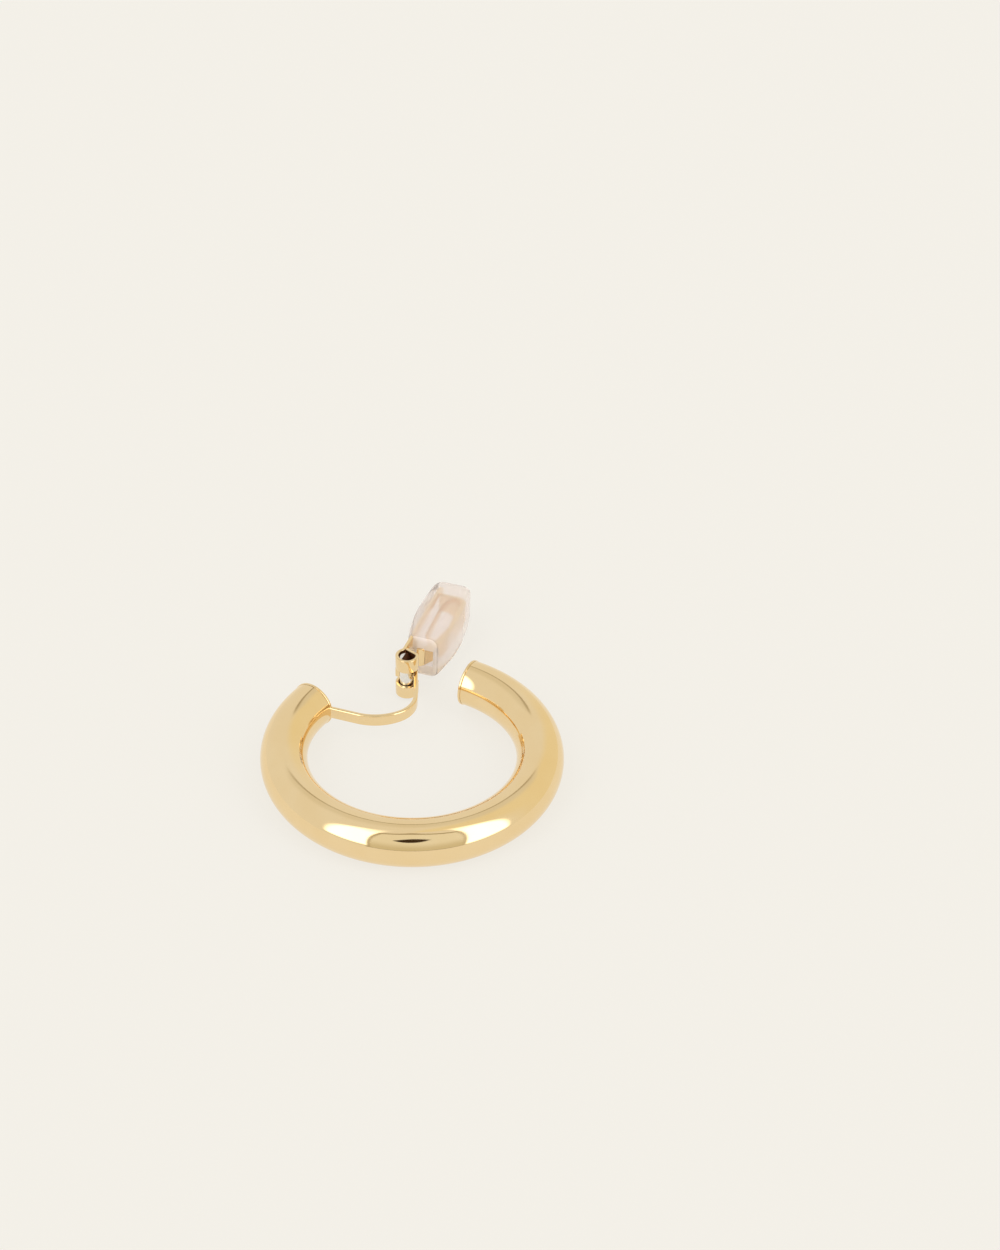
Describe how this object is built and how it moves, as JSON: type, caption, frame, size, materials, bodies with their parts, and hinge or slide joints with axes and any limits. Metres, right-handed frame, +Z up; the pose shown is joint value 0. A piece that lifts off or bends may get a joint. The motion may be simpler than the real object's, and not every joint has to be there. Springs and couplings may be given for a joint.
{
  "type": "clip-on earring",
  "caption": "Open hoop earring for an unpierced ear: a round gold tube whose bridge band carries a hinged paddle in a clear silicone sleeve.",
  "frame": {"origin": "centre of the bounding box, on the surface that the earring lies on", "axes": "+Z up, nearly along the hoop's own axis; +Y from the closed near side of the hoop towards its gap and the open clip; +X towards the free end of the hoop"},
  "size_m": [0.03, 0.0412, 0.0059],
  "materials": {
    "gold": "pale yellow gold plating, polished to a mirror",
    "steel": "bright drawn steel",
    "silicone": "clear silicone with a faint pink tint, soft gloss"
  },
  "bodies": {
    "hoop_body": {"hoop": "gold", "hinge_pin": "steel"},
    "clip_body": {"clip_paddle": "gold", "silicone_sleeve": "silicone"}
  },
  "joints": [
    {"name": "clip_hinge", "type": "hinge", "parent": "hoop_body", "child": "clip_body", "pos_m": [-0.0006, 0.007, 0.00279], "axis": [0, -0.0177, 0.9998], "range_deg": [0, 117]}
  ]
}
